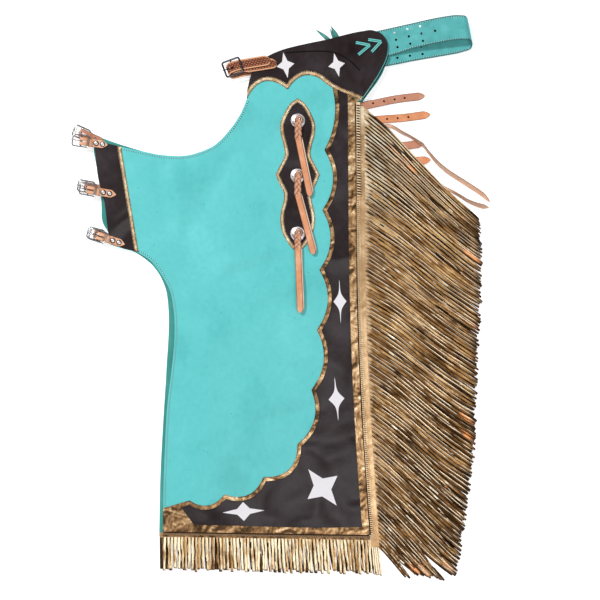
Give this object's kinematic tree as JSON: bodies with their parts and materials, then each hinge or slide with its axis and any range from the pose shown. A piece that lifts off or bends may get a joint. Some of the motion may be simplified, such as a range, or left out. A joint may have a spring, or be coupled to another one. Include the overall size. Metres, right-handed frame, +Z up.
{
  "type": "leather chaps",
  "caption": "Pair of fringed leather rodeo chaps laid flat, legs stacked, with yoke, back belt, buckled waist and thigh straps, scalloped border and concho patch.",
  "frame": {"origin": "middle of the footprint, on the surface the chaps lie on", "axes": "+X from the thigh buckles to the fringed side seam, +Y from the hem to the waist, +Z up from the surface"},
  "size_m": [0.8384, 1.129, 0.0236],
  "materials": {
    "turquoise_leather": "smooth, soft sheen",
    "black_leather": "fine grain, satin",
    "gold_metallic_leather": "metallic foil, crinkled",
    "white_leather": "smooth, satin",
    "tan_strap_leather": "smooth strap leather, satin",
    "tooled_strap_leather": "basketweave stamped, satin",
    "nickel": "polished nickel plate",
    "gunmetal": "dark plated steel"
  },
  "bodies": {
    "chaps": {"lower_leg": "turquoise_leather", "upper_leg": "turquoise_leather", "back_belt": "turquoise_leather", "chevron_front": "turquoise_leather", "chevron_back": "turquoise_leather", "lace_tail_front": "turquoise_leather", "lace_tail_back": "turquoise_leather", "border_black": "black_leather", "yoke_black": "black_leather", "patch_black": "black_leather", "tab_black": "black_leather", "border_gold": "gold_metallic_leather", "yoke_gold": "gold_metallic_leather", "patch_gold": "gold_metallic_leather", "tab_gold": "gold_metallic_leather", "side_welt": "gold_metallic_leather", "side_fringe": "gold_metallic_leather", "hem_fringe": "gold_metallic_leather", "lower_side_fringe": "gold_metallic_leather", "lower_hem_fringe": "gold_metallic_leather", "star_yoke_front": "white_leather", "star_yoke_back": "white_leather", "star_side_top": "white_leather", "star_side_bottom": "white_leather", "star_corner": "white_leather", "star_hem": "white_leather", "waist_chape": "tooled_strap_leather", "waist_billet": "tooled_strap_leather", "waist_frame": "gunmetal", "waist_prong": "gunmetal", "strap_1": "tan_strap_leather", "strap_2": "tan_strap_leather", "strap_3": "tan_strap_leather", "strap_4": "tan_strap_leather", "strap_5": "tan_strap_leather", "strap_6": "tan_strap_leather", "string_top": "tan_strap_leather", "concho_top": "nickel", "chape_upper_top": "tan_strap_leather", "frame_upper_top": "nickel", "chape_lower_top": "tan_strap_leather", "frame_lower_top": "nickel", "prong_lower_top": "nickel", "string_middle": "tan_strap_leather", "concho_middle": "nickel", "chape_upper_middle": "tan_strap_leather", "frame_upper_middle": "nickel", "chape_lower_middle": "tan_strap_leather", "frame_lower_middle": "nickel", "prong_lower_middle": "nickel", "string_bottom": "tan_strap_leather", "concho_bottom": "nickel", "chape_upper_bottom": "tan_strap_leather", "frame_upper_bottom": "nickel", "chape_lower_bottom": "tan_strap_leather", "frame_lower_bottom": "nickel", "prong_lower_bottom": "nickel"},
    "prong_top": {"prong_upper_top": "nickel"},
    "prong_middle": {"prong_upper_middle": "nickel"},
    "prong_bottom": {"prong_upper_bottom": "nickel"}
  },
  "joints": [
    {"name": "prong_top_swing", "type": "hinge", "parent": "chaps", "child": "prong_top", "pos_m": [-0.3986, 0.314, 0.01555], "axis": [0.1392, 0.9903, 0], "range_deg": [0, 125]},
    {"name": "prong_middle_swing", "type": "hinge", "parent": "chaps", "child": "prong_middle", "pos_m": [-0.3842, 0.217, 0.01555], "axis": [0.1736, 0.9848, 0], "range_deg": [0, 125]},
    {"name": "prong_bottom_swing", "type": "hinge", "parent": "chaps", "child": "prong_bottom", "pos_m": [-0.3642, 0.125, 0.01555], "axis": [0.309, 0.9511, 0], "range_deg": [0, 125]}
  ]
}
